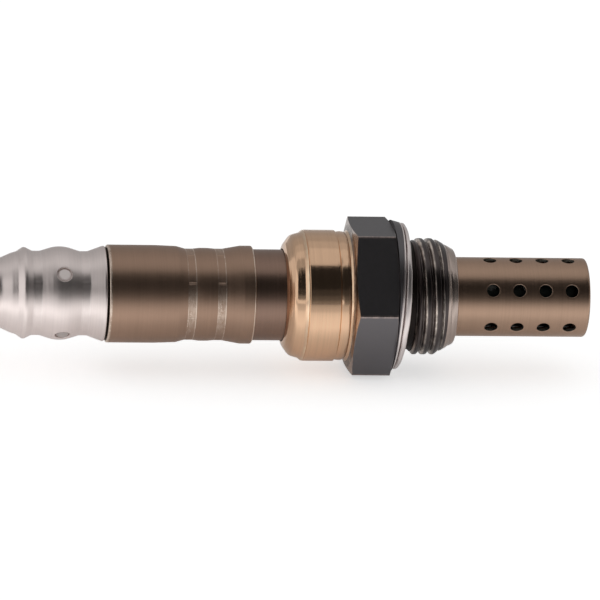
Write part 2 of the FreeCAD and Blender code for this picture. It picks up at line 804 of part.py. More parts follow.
def ground_terminal():
    """Clip around the element's tail with its strip."""
    inside = element_root_diameter + 2 * slide_gap
    outside = inside + 2 * clip_thickness
    middle = (inside + outside) / 4
    clip = ring(element_tail_x, element_tail_x + clip_length, inside, outside)
    start = (element_tail_x + clip_length / 2, middle + strip_thickness / 2)
    path = [start, (element_tail_x - 2 * strip_thickness, start[1]), strip_bend()]
    return terminal_strip(path, wire_places()[1]).fuse(clip).removeSplitter()


def heater_terminal(place):
    """Strip that bears on the side of the heater's tail."""
    contact = heater_diameter / 2 + slide_gap + strip_thickness / 2
    path = [(heater_tail_x + clip_length, contact), (heater_tail_x, contact), strip_bend()]
    return terminal_strip(path, wire_places()[place])


PIECES = {
    "housing": housing,
    "gasket": gasket,
    "outer_protector": outer_protector,
    "inner_protector": inner_protector,
    "sensing_element": sensing_element,
    "heater_rod": heater_rod,
    "lower_packing": lower_packing,
    "powder_seal": powder_seal,
    "upper_packing": upper_packing,
    "insulator_sleeve": insulator_sleeve,
    "clamping_washer": clamping_washer,
    "inner_case": inner_case,
    "caulking_ring": caulking_ring,
    "outer_case": outer_case,
    "dust_cover": dust_cover,
    "filter_sleeve": filter_sleeve,
    "grommet": grommet,
    "terminal_separator": terminal_separator,
    "separator_holder": separator_holder,
    "disc_spring": disc_spring,
    "signal_terminal": signal_terminal,
    "ground_terminal": ground_terminal,
    "heater_terminal_a": lambda: heater_terminal(2),
    "heater_terminal_b": lambda: heater_terminal(3),
}

for name, build in PIECES.items():
    shape = build()
    shape.exportStep("parts/" + name + ".step")
    print(name, shape.ShapeType, len(shape.Solids), shape.isValid(), round(shape.Volume, 2))
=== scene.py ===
"""Looks of a heated exhaust oxygen sensor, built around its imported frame.

Sizes are in millimetres and angles in degrees. Angles around the axis are counted from -Y upwards.
"""
import math
from dataclasses import dataclass

import bmesh
import bpy
import numpy as np
from mathutils import Matrix, Vector


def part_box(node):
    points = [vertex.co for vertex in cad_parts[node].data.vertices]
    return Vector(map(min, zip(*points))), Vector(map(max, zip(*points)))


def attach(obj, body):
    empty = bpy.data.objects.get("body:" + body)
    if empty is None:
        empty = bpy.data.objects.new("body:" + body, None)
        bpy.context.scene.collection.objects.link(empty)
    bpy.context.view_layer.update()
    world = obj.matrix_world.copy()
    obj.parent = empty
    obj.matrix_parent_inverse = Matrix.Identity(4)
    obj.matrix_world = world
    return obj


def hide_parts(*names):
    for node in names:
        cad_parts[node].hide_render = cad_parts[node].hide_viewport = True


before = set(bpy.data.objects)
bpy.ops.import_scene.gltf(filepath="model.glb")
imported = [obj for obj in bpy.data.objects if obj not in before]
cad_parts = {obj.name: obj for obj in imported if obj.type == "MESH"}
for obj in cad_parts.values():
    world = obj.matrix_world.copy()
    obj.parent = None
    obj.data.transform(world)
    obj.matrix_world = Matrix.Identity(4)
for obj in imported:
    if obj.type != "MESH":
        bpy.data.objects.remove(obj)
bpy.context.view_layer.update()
mm = 0.001


def extent(node):
    """Lowest and highest corner of a node."""
    low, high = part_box(node)
    return low / mm, high / mm


housing_low, housing_high = extent("housing")
gasket_low = extent("gasket")[0]
probe_low, probe_high = extent("outer_protector")
case_low, case_high = extent("outer_case")
cover_low, cover_high = extent("dust_cover")
filter_low, filter_high = extent("filter_sleeve")

# Mesh: its steps, and how far an arc may reach along the runs beside it
run_share = 0.48
least_reach = 0.001
merge_distance = 0.001
long_step = 1.0
short_step = 0.25
tip_step = 1.2
gasket_step = 0.4
column_step = 3.0
filter_column_step = 6.0
thread_rows = 170
gasket_columns = 180
jaw_offsets = [-4.0, -2.8, -2.1, -1.5, -0.8, 0, 0.8, 1.5, 2.1, 2.8, 4.0]
band_edge_offsets = (-0.09, -0.03, 0.03, 0.09)

# Housing: thread and groove
thread_diameter = 18.0
thread_length = 3.6
thread_pitch = 1.5
thread_depth = 0.6
thread_cut_limit = 0.85
thread_flank_angle = 30.0
thread_phase = 1.06
thread_runout = 0.25
runout_before = 0.5
runout_after = 1.6
thread_crest_round = 0.2
thread_start_bevel = 0.5
# Painted highlight on the lit flank of each groove, in patches, fading out towards the groove behind the
# thread
thread_highlight_fade = 0.3
flank_highlight_start = 0.3
flank_highlight_end = 1.1
flank_highlight_fade = 1.9
thread_patch_level = 0.6
thread_patch_swing = 0.25
thread_patch_least = 0.15
thread_patch_counts = (5, 13)
nose_ring_place = 1.35
nose_diameter = 14.6
nose_round = 0.5
groove_diameter = 16.4
groove_fillet = 0.3

# Housing: hexagon
hexagon_corners = 6
hexagon_width = 22.0
hexagon_length = 6.55
hexagon_chamfer_angle = 12.0
hexagon_face_diameter = 21.9
hexagon_edge_round = 0.2
hexagon_corner_offsets = [-1.5, -0.45, -0.22, 0, 0.22, 0.45, 1.5]
hexagon_side_shares = [0, 0.02, 0.25, 0.5, 0.75, 0.98, 1.0]
hexagon_bevel_rows = 5
hexagon_bevel_wear = 0.15
hexagon_corner_wear = 0.8
hexagon_corner_wear_near = 0.25
hexagon_corner_wear_far = 0.9
hexagon_end_wear = 0.5
seat_x = gasket_low.x
hexagon_tail_x = seat_x - hexagon_length

# Housing: collar, each bend of its rolled end by length, drop and round
collar_diameter = 20.2
collar_step = 0.17
collar_step_length = 1.55
collar_crown = 0.1
collar_neck_length = 0.75
collar_neck_depth = 0.25
collar_neck_bow = 0.2
collar_roll_length = 3.05
collar_bead = (2.55, 0.43, 0.25)
collar_shoulder = (1.16, 0.84, 1.2)
collar_elbow = (0.25, 2.1, 1.1)
collar_lip_thickness = 1.5
collar_lip_round = 0.15
collar_lip_blend = 0.1
collar_lip_run = 1.0
collar_lip_shade = 0.1
collar_edge_round = 0.06
crease_width = 0.24
crease_depth = 0.12
step_crease_depth = 0.05
crease_rise = 0.04
neck_shade_length = 0.3
# Lighter gold on the collar's neck and on the bead of its rolled end
neck_lightening = 0.35
neck_lightening_overlap = 0.1
bead_lightening = 0.9
bead_lightening_start = 0.05
row_margin = 0.01
collar_tail_x = housing_low.x

# Housing: bores
lip_hole_diameter = 14.2
case_bore_diameter = 16.2
case_bore_depth = 4.0
rear_bore_diameter = 12.0
front_bore_diameter = 8.8
ledge_depth = 1.5
flange_thickness = 0.5
lip_thickness = 0.7
fit = 0.05

# Housing: places of its materials in their list
# The dark place in this list is painted shade for recesses and gaps
gold_paint, black_paint, oxide_paint, shade_paint, nose_paint = range(5)

# Gasket: its ends by bow, lean and level, and its waves by height, number around and phase
gasket_diameter = 22.9
gasket_bore_diameter = 17.6
gasket_backing_flare = 0.3
gasket_backing_clearance = 0.15
gasket_inner_fold = 0.4
gasket_outer_fold = 0.9
gasket_fold_gap = 0.15
gasket_fold_root = 1.3
gasket_fold_round = 0.19
gasket_outer_inset = 0.12
gasket_front_round = 0.3
gasket_back_round = 0.55
gasket_lip_round = 0.9
gasket_lip_turn = 0.25
gasket_start = (0.38, 0.55, 0.17)
gasket_end = (-0.22, 0.5, 1.88)
gasket_waves = ((0.6, 5, 0.7), (0.5, 11, 2.1), (0.4, 17, 4.0))
gasket_wave_shift = 23
gasket_wrinkle = 0.05
gasket_inner_wrinkle = 0.4
gasket_wrinkle_lean = 0.8
gasket_sharp_angle = 50.0

# Outer protector
protector_wall = 0.5
protector_round = 1.4
protector_diameter = 12.2
protector_flange = 0.7
protector_hub = 0.15
probe_hole_diameter = 2.0
probe_hole_rows = 6
probe_hole_columns = 4
probe_hole_pitch = 4.08
probe_hole_tip_distance = 2.95
probe_hole_angle = 24.0
nose_hole_radius = protector_diameter / 2 + fit

# Outer case
case_wall = 0.45
case_diameter = 15.0
case_waist_diameter = 14.76
case_crest_diameter = 14.26
case_band_diameter = 14.0
case_second_band_diameter = 14.06
case_mouth_diameter = 15.06
case_mouth_round = 0.42
case_tail_round = 0.45
case_first_band_place = 9.7
case_second_band_place = 5.15
case_taper_length = 3.4
case_run = 1.35
case_crest_run = 1.05
case_mouth_run = 2.8
# Painted highlight along the rounded mouth and tail edges of the case
case_mouth_highlight = 2.5
case_mouth_highlight_share = 0.45
case_tail_highlight = 1.3
case_tail_highlight_share = 0.8
band_width = 1.2
band_edge_round = 0.3
crest_round = 1.6

# Dust cover
cover_wall = 0.45
cover_seam = 0.4
cover_skirt_diameter = 13.96
cover_skirt_gap = 0.02
cover_skirt_round = 0.1
cover_rim_diameter = 14.6
cover_rim_length = 0.2
cover_rim_round = 0.15
cover_crest_diameter = 14.3
cover_shoulder_diameter = 14.2
cover_band_diameter = 12.9
cover_neck_diameter = 10.6
cover_neck_band_diameter = 9.8
cover_rim_run = 2.5
cover_run = 2.2
cover_shoulder_run = 1.3
cover_crease_run = 1.1
cover_crease_drop = 0.75
cover_neck_run = 1.0
cover_crest_length = 1.7
cover_cone_length = 2.6
cover_flare_length = 0.9
cover_flare = 0.28
cover_neck_length = 10.0
cover_shoulder_round = 0.6
cover_crease_round = 0.25
cover_crest_round = 6.0
cover_band_edge_round = 1.0
cover_end_turn = 0.6
# Painted shade: from here on, the cover's skirt inside the seam's gap is painted dark
seam_shade_edge = 0.03
rim_x = case_low.x - cover_seam
front_band_x = rim_x - cover_rim_run - band_width / 2
crest_front_x = front_band_x - band_width / 2 - cover_run
crest_back_x = crest_front_x - cover_crest_length
back_band_x = crest_back_x - cover_run - band_width / 2
shoulder_x = back_band_x - band_width / 2 - cover_shoulder_run
crease_x = shoulder_x - cover_crease_run
neck_x = crease_x - cover_cone_length
neck_band_x = neck_x - cover_neck_length / 2

# Vents and the filter behind them
vent_diameter = 2.3
vent_count = 4
vent_shift = 0.3
vent_angle = 38.8
vent_margin = 0.3
vent_clearance = 0.12
vent_x = (crest_front_x + crest_back_x) / 2 + vent_shift
filter_wall = 0.4
filter_bulge = 0.42
filter_bulge_share = 0.75
filter_offsets = np.linspace(-1.2, 1.2, 17)

# Jaw marks and wear on the crimped bands
jaw_count = 8
jaw_angle = 28.0
jaw_mark_width = 0.22
jaw_mark_height = 0.06
jaw_mark_inset = 0.15
jaw_mark_overlap = 0.1
jaw_mark_top = 0.6
jaw_mark_foot = 1.9
jaw_mark_wear = 0.9
jaw_mark_least = 0.15
band_wear = 0.6
band_edge_wear = 1.3
band_edge_least = 0.35
band_edge_near = 0.01
band_edge_far = 0.08
band_patch_level = 0.45
band_patch_count = 3
band_patch_turn = 20

# Surfaces
mottle_scale = (2500, 900, 900)
mottle_low = -0.6
mottle_high = 2.2
scribble_scale = (900, 700, 700)
scribble_width = 0.022
scribble_strength = 1.6
scribble_base = 0.75
roughness_swing = 0.06
node_sharp_angle = 30.0


def rounded(knots, steps=5):
    """Outline along straight lines between (x, r, radius) knots, with an arc at each inner one."""
    path = [Vector(knots[0][:2])]
    for before, knot, after in zip(knots, knots[1:], knots[2:]):
        corner = Vector(knot[:2])
        back = Vector(before[:2]) - corner
        ahead = Vector(after[:2]) - corner
        turn = math.pi - back.angle(ahead)
        room = run_share * min(back.length, ahead.length)
        reach = min(knot[2] * math.tan(turn / 2), room)
        if reach < least_reach:
            path.append(corner)
            continue
        radius = reach / math.tan(turn / 2)
        middle = (back.normalized() + ahead.normalized()).normalized()
        centre = corner + middle * radius / math.cos(turn / 2)
        start = corner + back.normalized() * reach - centre
        swing = back.cross(ahead)
        for step in range(steps + 1):
            angle = math.copysign(turn, -swing) * step / steps
            path.append(centre + Matrix.Rotation(angle, 2) @ start)
    path.append(Vector(knots[-1][:2]))
    return [tuple(point) for point in path]


def bowed(start, end, bow, steps=8):
    """Points of a shallow arc from start to end, its middle off the chord by bow, to the left of its run."""
    along = Vector(end) - Vector(start)
    side = Vector((-along.y, along.x)).normalized()
    points = []
    for step in range(1, steps + 1):
        share = step / steps
        points.append(tuple(Vector(start) + along * share + side * bow * 4 * share * (1 - share)))
    return points


def densified(path, longest=long_step):
    """The same outline with its long runs divided."""
    points = [path[0]]
    for start, end in zip(path, path[1:]):
        count = max(1, math.ceil(math.dist(start, end) / longest))
        for step in range(1, count + 1):
            share = step / count
            points.append((start[0] + (end[0] - start[0]) * share, start[1] + (end[1] - start[1]) * share))
    return points


def path_radius(path):
    """Function that gives the radius of an outline at a station along the axis."""
    ordered = sorted(path)
    stations = [point[0] for point in ordered]
    radii = [point[1] for point in ordered]
    return lambda x: np.interp(x, stations, radii)


def even_angles(first, count):
    """Evenly spaced angles around the axis."""
    return [first + 360.0 / count * place for place in range(count)]


def off_nearest(angle, first, count):
    """Degrees to an angle from the nearest of some evenly spaced ones."""
    pitch = 360.0 / count
    return (angle - first + pitch / 2) % pitch - pitch / 2


def spread(centres, offsets, step):
    """Angles around the axis: a group around each centre, and even steps between the groups."""
    angles = []
    for centre, following in zip(centres, centres[1:] + [centres[0] + 360]):
        group = [centre + offset for offset in offsets]
        first = following + offsets[0]
        count = max(1, math.ceil((first - group[-1]) / step))
        angles += group + [group[-1] + (first - group[-1]) * place / count for place in range(1, count)]
    return np.array(angles)


def smooth_step(value, low, high):
    """Rises smoothly from 0 at low to 1 at high."""
    share = np.clip((value - low) / (high - low), 0, 1)
    return share * share * (3 - 2 * share)


def placed(name, data):
    """New object in the scene."""
    shown = bpy.data.objects.new(name, data)
    bpy.context.scene.collection.objects.link(shown)
    return shown


class Skin:
    """Patches of one piece's surface, joined where their edges meet."""

    def __init__(self, angles):
        self.angles = angles[None, :]
        self.points = []
        self.wear_and_highlight = []
        self.quads = []
        self.paint = []

    def add(self, x, r, wear_and_highlight=0.0, paint=0, closed=False, angle=None):
        """Adds a grid: rows along the outline, and columns all around or at the angles given."""
        around = angle is None
        if around:
            angle = self.angles
        x, r, angle, wear_and_highlight = np.broadcast_arrays(x, r, angle, wear_and_highlight)
        turn = np.radians(angle)
        start = sum(len(points) for points in self.points)
        points = np.stack([x, -r * np.cos(turn), r * np.sin(turn)], axis=-1) * mm
        index = start + np.arange(x.size).reshape(x.shape)
        if around:
            index = np.hstack([index, index[:, :1]])
        if closed:
            index = np.vstack([index, index[:1]])
        quads = np.stack([index[:-1, :-1], index[1:, :-1], index[1:, 1:], index[:-1, 1:]], axis=-1)
        paint = np.broadcast_to(paint, quads.shape[:2])
        self.points.append(points.reshape(-1, 3))
        self.wear_and_highlight.append(wear_and_highlight.reshape(-1))
        self.quads.append(quads.reshape(-1, 4))
        self.paint.append(paint.reshape(-1))

    def turned(self, path, paint=0):
        """Adds a plain turned outline of (x, r) points."""
        path = np.array(path)
        self.add(path[:, :1], path[:, 1:], paint=paint)

    def piece(self, name, materials, node, slot, sharp_angle=32.0):
        """Makes the object that stands for a CAD node."""
        mesh = bpy.data.meshes.new(name)
        mesh.from_pydata(np.concatenate(self.points).tolist(), [], np.concatenate(self.quads).tolist())
        # This attribute holds real wear in some places and painted highlight in others
        lightening = mesh.attributes.new("wear_and_highlight", "FLOAT", "POINT")
        lightening.data.foreach_set("value", np.concatenate(self.wear_and_highlight).astype(np.float32))
        mesh.polygons.foreach_set("material_index", np.concatenate(self.paint).astype(np.int32))
        build = bmesh.new()
        build.from_mesh(mesh)
        bmesh.ops.remove_doubles(build, verts=build.verts, dist=merge_distance * mm)
        bmesh.ops.recalc_face_normals(build, faces=build.faces)
        build.to_mesh(mesh)
        build.free()
        for material in materials:
            mesh.materials.append(material)
        mesh.polygons.foreach_set("use_smooth", [True] * len(mesh.polygons))
        mesh.set_sharp_from_angle(angle=math.radians(sharp_angle))
        shown = placed(name, mesh)
        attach(shown, "root")
        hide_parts(node)


def feed(tree, socket, value):
    """Links another socket to this one, or sets it to a value."""
    if isinstance(value, bpy.types.NodeSocket):
        tree.links.new(value, socket)
    else:
        socket.default_value = value


def add_node(tree, kind, **values):
    """Adds a shader node and feeds its sockets by name."""
    node = tree.nodes.new(kind)
    for key, value in values.items():
        feed(tree, node.inputs[key.replace("_", " ")], value)
    return node


def ranged(tree, value, low, high, **source):
    """Maps a value from 0..1, or the range given, to low..high."""
    node = add_node(tree, "ShaderNodeMapRange", Value=value, To_Min=low, To_Max=high, **source)
    return node.outputs["Result"]


def streaks(tree, scale):
    """Fine lines around the axis, from 0 to 1."""
    place = add_node(tree, "ShaderNodeTexCoord").outputs["Object"]
    stretch = add_node(tree, "ShaderNodeMapping", Vector=place, Scale=scale).outputs["Vector"]
    noise = add_node(tree, "ShaderNodeTexNoise", Vector=stretch, Scale=1.0, Detail=3.0, Roughness=0.6)
    return noise.outputs["Fac"]


def mixed(tree, share, first, second):
    """Mix of two colours or colour sockets by a share socket."""
    node = add_node(tree, "ShaderNodeMix")
    node.data_type = "RGBA"
    feed(tree, node.inputs["Factor"], share)
    feed(tree, node.inputs[6], first)
    feed(tree, node.inputs[7], second)
    return node.outputs[2]


def arithmetic(tree, operation, first, second):
    """Result of one math node on a socket and a socket or number."""
    node = add_node(tree, "ShaderNodeMath")
    node.operation = operation
    feed(tree, node.inputs[0], first)
    feed(tree, node.inputs[1], second)
    return node.outputs[0]


def linear(colour, gain=1.0):
    """Opaque linear colour from sRGB values of 0 to 255, made lighter or darker by a gain."""
    shares = [value / 255 for value in colour]
    parts = [share / 12.92 if share <= 0.04045 else ((share + 0.055) / 1.055) ** 2.4 for share in shares]
    return [min(1.0, part * gain) for part in parts] + [1.0]


def with_scribbles(tree, mottle):
    """Weaker mottle with thin crooked scratches over it."""
    middle = arithmetic(tree, "SUBTRACT", streaks(tree, scribble_scale), 0.5)
    off = arithmetic(tree, "ABSOLUTE", middle, 0.0)
    line = ranged(tree, off, scribble_strength, 0.0, From_Max=scribble_width)
    return arithmetic(tree, "MAXIMUM", arithmetic(tree, "MULTIPLY", mottle, scribble_base), line)


def new_material(name):
    """Material with a node tree, and that tree."""
    material = bpy.data.materials.new(name)
    material.use_nodes = True
    return material, material.node_tree


def surface(name, colour, roughness, metallic=1.0, wear_and_highlight_colour=None, grain=0.12, grain_scale=(4000, 60, 60),
            bump=0.02, scribbled=False):
    """Turned or coated surface with fine lines around the axis, lighter where a point attribute says so;
    that attribute holds real wear in some places and painted highlight in others.
    """
    material, tree = new_material(name)
    sockets = tree.nodes["Principled BSDF"].inputs
    lines = streaks(tree, grain_scale)
    shade = mixed(tree, lines, linear(colour, 1 - grain), linear(colour, 1 + grain))
    if wear_and_highlight_colour:
        wear_and_highlight = add_node(tree, "ShaderNodeAttribute")
        wear_and_highlight.attribute_name = "wear_and_highlight"
        mottle = ranged(tree, streaks(tree, mottle_scale), mottle_low, mottle_high)
        if scribbled:
            mottle = with_scribbles(tree, mottle)
        share = arithmetic(tree, "MULTIPLY", wear_and_highlight.outputs["Fac"], mottle)
        share.node.use_clamp = True
        shade = mixed(tree, share, shade, linear(wear_and_highlight_colour))
    feed(tree, sockets["Metallic"], metallic)
    feed(tree, sockets["Base Color"], shade)
    rough = ranged(tree, lines, roughness - roughness_swing, roughness + roughness_swing)
    feed(tree, sockets["Roughness"], rough)
    if bump:
        relief = add_node(tree, "ShaderNodeBump", Height=lines, Strength=1.0, Distance=bump * mm)
        feed(tree, sockets["Normal"], relief.outputs["Normal"])
    return material


gold = surface("gold_steel", (229, 190, 157), 0.14, wear_and_highlight_colour=(245, 220, 190))
# Its lighter colour is real wear on the crimped bands and painted highlight on the case's rounded mouth and
# tail edges
bronze = surface("bronze_steel", (168, 139, 120), 0.38, wear_and_highlight_colour=(232, 214, 198), scribbled=True)
probe_bronze = surface("probe_bronze_steel", (180, 150, 129), 0.32, wear_and_highlight_colour=(190, 170, 155))
tube_bronze = surface("tube_bronze_steel", (148, 122, 108), 0.34)
silver = surface("silver_steel", (238, 226, 222), 0.36, wear_and_highlight_colour=(246, 235, 231), grain=0.08)
plain_steel = surface("gasket_steel_look", (238, 228, 225), 0.36, grain=0.15)
# Its near-white second colour is painted highlight on the thread's lit flanks
oxide = surface("thread_steel", (84, 77, 76), 0.28, wear_and_highlight_colour=(244, 230, 218), grain=0.3)
nose_steel = surface("nose_steel", (186, 170, 161), 0.2, grain=0.22)
black_coat = surface("black_coat", (114, 111, 113), 0.42, wear_and_highlight_colour=(190, 172, 165), grain=0.05,
                     bump=0.004, grain_scale=(2500, 2500, 2500))
# Painted shade: this near-black colour stands in for shade in the bores, the groove behind the thread, the
# hexagon's seat bevel, inside the collar's lip and in the cover's seam
painted_shade = surface("painted_shade", (45, 40, 38), 0.5, grain=0.1)
hole_steel = surface("hole_wall_steel", (150, 148, 140), 0.4, grain=0.2)
# Painted shade: the inner protector is coloured near black for the shade inside the perforated cover
dark_steel = surface("shade_darkened_steel", (66, 70, 66), 0.5, grain=0.2)
rubber = surface("grommet_rubber_look", (38, 38, 40), 0.6, metallic=0.0, grain=0.1, bump=0.01,
                 grain_scale=(1500, 1500, 1500))
felt = surface("filter_look", (222, 212, 208), 0.85, metallic=0.0, grain=0.06, bump=0.03,
               grain_scale=(3000, 3000, 3000))
ceramic = surface("ceramic_look", (232, 229, 220), 0.6, metallic=0.0, grain=0.03, bump=0.0,
                  grain_scale=(800, 800, 800))
powder = surface("powder_look", (190, 189, 183), 0.9, metallic=0.0, grain_scale=(5000, 5000, 5000))
brass = surface("brass_look", (212, 180, 112), 0.3, grain=0.08)


def thread_radius(x, angle, envelope):
    """Right-handed screw thread cut into an envelope, and how much painted highlight its grooves' lit flanks
    get.
    """
    turns = (x - thread_phase + angle * thread_pitch / 360) / thread_pitch
    off_groove = (turns - np.round(turns)) * thread_pitch
    slope = math.tan(math.radians(thread_flank_angle))
    faded = smooth_step(x, thread_length - runout_before, thread_length + runout_after)
    depth = thread_depth * (1 - (1 - thread_runout) * faded)
    sharp = depth - np.abs(off_groove) / slope
    cut = np.minimum((sharp + np.hypot(sharp, thread_crest_round)) / 2, depth * thread_cut_limit)
    half_width = depth * slope
    lit = smooth_step(off_groove, 0.0, flank_highlight_start * half_width)
    unlit = smooth_step(off_groove, flank_highlight_end * half_width, flank_highlight_fade * half_width)
    patchy = thread_patch_level
    for order, count in enumerate(thread_patch_counts, 1):
        patchy = patchy + thread_patch_swing * np.sin(np.radians(angle) * count + order * turns)
    return envelope - cut, lit * (1 - unlit) * np.clip(patchy, thread_patch_least, 1)


def dress_thread(skin):
    """Nose, thread and the groove behind it."""
    shell_end_x = housing_high.x
    thread = thread_diameter / 2
    nose = nose_diameter / 2
    groove = groove_diameter / 2
    tip = rounded([(shell_end_x, nose_hole_radius, 0), (shell_end_x, nose, nose_round),
                   (thread_length, thread, 0)])
    skin.turned(tip[:-1], nose_paint)
    rows = np.linspace(tip[-2][0], 0, thread_rows)[:, None]
    slope = (thread - nose) / (shell_end_x - thread_length)
    envelope = np.where(rows > thread_length, thread - (rows - thread_length) * slope, thread)
    start = np.maximum(thread - thread_start_bevel + rows, groove + groove_fillet)
    radius, wear_and_highlight = thread_radius(rows, skin.angles, np.minimum(envelope, start))
    # The painted highlight fades out near the groove
    wear_and_highlight = wear_and_highlight * smooth_step(rows, -thread_highlight_fade, thread_highlight_fade)
    radius[0, :] = tip[-2][1]
    radius[-1, :] = groove + groove_fillet
    paint = np.where(rows[:-1] > thread_length + nose_ring_place, nose_paint, oxide_paint)
    skin.add(rows, radius, np.minimum(wear_and_highlight, 1), paint)
    # The groove behind the thread is painted dark as painted shade
    valley = rounded([(0, groove + groove_fillet, 0), (0, groove, groove_fillet),
                      (seat_x, groove, groove_fillet), (seat_x, hexagon_face_diameter / 2, 0)])
    skin.turned(densified(valley), shade_paint)


def hexagon_radius(angle):
    """Distance from the axis to the hexagon's side, with its corners slightly rounded."""
    off = np.abs(off_nearest(angle, 0, hexagon_corners))
    half_side = 180 / hexagon_corners
    flat = hexagon_width / 2 / np.cos(np.radians(half_side - off))
    corner_share = math.cos(math.radians(half_side))
    centre = (hexagon_width / 2 - hexagon_edge_round) / corner_share
    aside = centre * np.sin(np.radians(off))
    arc = centre * np.cos(np.radians(off)) + np.sqrt(np.maximum(hexagon_edge_round ** 2 - aside ** 2, 0))
    tangent = math.atan2(hexagon_edge_round / 2, centre + hexagon_edge_round * corner_share)
    return np.where(off < math.degrees(tangent), arc, flat)


def dress_hexagon(skin):
    """Hexagon with a bevel at both ends and worn edges."""
    face = hexagon_face_diameter / 2
    side = hexagon_radius(skin.angles)
    slant = math.tan(math.radians(hexagon_chamfer_angle))
    share = np.linspace(0, 1, hexagon_bevel_rows)[:, None]
    rise = (side - face) * share
    # The seat bevel by the gasket is painted dark as painted shade
    skin.add(seat_x - rise * slant, face + rise, hexagon_bevel_wear * share, shade_paint)
    near_x = seat_x - rise[-1] * slant
    far_x = hexagon_tail_x + rise[-1] * slant
    share = np.array(hexagon_side_shares)[:, None]
    corner_off = np.abs(off_nearest(skin.angles, 0, hexagon_corners))
    corner = 1 - smooth_step(corner_off, hexagon_corner_wear_near, hexagon_corner_wear_far)
    wear_and_highlight = np.maximum(hexagon_corner_wear * corner, hexagon_end_wear * (share % 1 == 0))
    skin.add(near_x + (far_x - near_x) * share, side, wear_and_highlight, black_paint)
    rise = rise[::-1]
    # The tail bevel takes the lighter nose steel as painted highlight along the hexagon's tail edge
    skin.add(hexagon_tail_x + rise * slant, face + rise, paint=nose_paint)


def dress_collar(skin):
    """Neck, crowned step and rolled end of the collar, up to the point given back."""
    collar = collar_diameter / 2
    step = collar - collar_step
    crown = step - collar_crown
    lip_hole = lip_hole_diameter / 2
    collar_neck_x = hexagon_tail_x - collar_neck_length
    step_x = collar_neck_x - collar_step_length
    edge_x = collar_tail_x + collar_roll_length
    neck_start = (hexagon_tail_x, hexagon_face_diameter / 2)
    neck_end = (collar_neck_x, step - collar_neck_depth)
    crown_start = (collar_neck_x, crown)
    crown_end = (step_x + crease_width, crown)
    outside = [neck_start] + bowed(neck_start, neck_end, collar_neck_bow)
    outside += [crown_start] + bowed(crown_start, crown_end, -collar_crown)
    outside += rounded([
        (step_x + crease_width / 2, crown - step_crease_depth, 0), (step_x, step, 0),
        (step_x, collar, collar_edge_round), (edge_x + crease_width, collar, collar_edge_round),
        (edge_x + crease_width / 2, collar - crease_depth, 0), (edge_x, collar - crease_rise, 0),
    ], steps=3)
    bends = [(collar_tail_x + length, collar - drop, turn)
             for length, drop, turn in (collar_bead, collar_shoulder, collar_elbow)]
    bead_x = bends[0][0]
    outside += rounded([outside[-1] + (0,)] + bends + [
        (collar_tail_x, lip_hole + collar_lip_round, collar_lip_blend),
        (collar_tail_x, lip_hole, collar_lip_round), (collar_tail_x + collar_lip_run, lip_hole, 0),
    ], steps=8)[1:]
    outline = np.array(densified(outside))
    x = outline[:, :1]
    r = outline[:, 1:]
    # The neck and the bead are made lighter
    on_bead = (x < edge_x + row_margin) & (x > bead_x + bead_lightening_start)
    wear_and_highlight = neck_lightening * (x > collar_neck_x - neck_lightening_overlap) + bead_lightening * on_bead
    # Painted shade: the neck's last stretch by the hexagon takes the thread's darker steel, and the face
    # inside the lip takes the dark colour
    paint = np.where(x[:-1] > hexagon_tail_x - neck_shade_length, oxide_paint, gold_paint)
    paint = np.where(r[:-1] < lip_hole + collar_lip_shade, shade_paint, paint)
    skin.add(x, r, wear_and_highlight, paint)
    return outside[-1]


def dress_bores(skin, lip_end):
    """Stepped bore through the housing, from the end of the collar's lip to the nose, painted dark as
    painted shade.
    """
    lip_face_x = collar_tail_x + collar_lip_thickness
    case_seat_x = lip_face_x + case_bore_depth
    ledge_x = seat_x + ledge_depth
    shell_end_x = housing_high.x
    flange_face_x = shell_end_x - lip_thickness
    flange_seat_x = flange_face_x - 2 * flange_thickness
    pocket = protector_diameter / 2 + protector_flange + fit
    skin.turned([
        lip_end, (lip_face_x, lip_hole_diameter / 2), (lip_face_x, case_bore_diameter / 2),
        (case_seat_x, case_bore_diameter / 2), (case_seat_x, rear_bore_diameter / 2),
        (ledge_x, rear_bore_diameter / 2), (ledge_x, front_bore_diameter / 2),
        (flange_seat_x, front_bore_diameter / 2), (flange_seat_x, pocket), (flange_face_x, pocket),
        (flange_face_x, nose_hole_radius), (shell_end_x, nose_hole_radius),
    ], shade_paint)


def dress_housing():
    """Body with a real thread, a chamfered hexagon and the rolled collar."""
    skin = Skin(spread(even_angles(0, hexagon_corners), hexagon_corner_offsets, column_step))
    dress_thread(skin)
    dress_hexagon(skin)
    lip_end = dress_collar(skin)
    dress_bores(skin, lip_end)
    paints = [gold, black_coat, oxide, painted_shade, nose_steel]
    skin.piece("housing_body", paints, "housing", "housing_steel")


def gasket_outline():
    """Outline of the gasket's two folds, from its inner face on, as if they lay evenly."""
    outside = gasket_diameter / 2
    bore = gasket_bore_diameter / 2
    gap_x = gasket_inner_fold
    lip_x = gap_x + gasket_fold_gap
    far_x = lip_x + gasket_outer_fold
    root = outside - gasket_fold_root
    crown = outside - gasket_outer_inset
    inner = rounded([(0, bore, 0), (0, outside, gasket_fold_round), (gap_x, outside, gasket_fold_round),
                     (gap_x, root, 0)])
    outer = rounded([(lip_x, root, 0), (lip_x, crown, gasket_front_round),
                     (far_x - gasket_outer_inset, crown, gasket_back_round),
                     (far_x, bore + gasket_lip_round, gasket_lip_round), (far_x - gasket_lip_turn, bore, 0)])
    path = np.array(densified(inner + outer, gasket_step))
    outward = smooth_step(path[:, 1:], root, outside)
    folded = smooth_step(path[:, :1], gap_x, lip_x)
    return path[:, :1], path[:, 1:], outward, folded, far_x


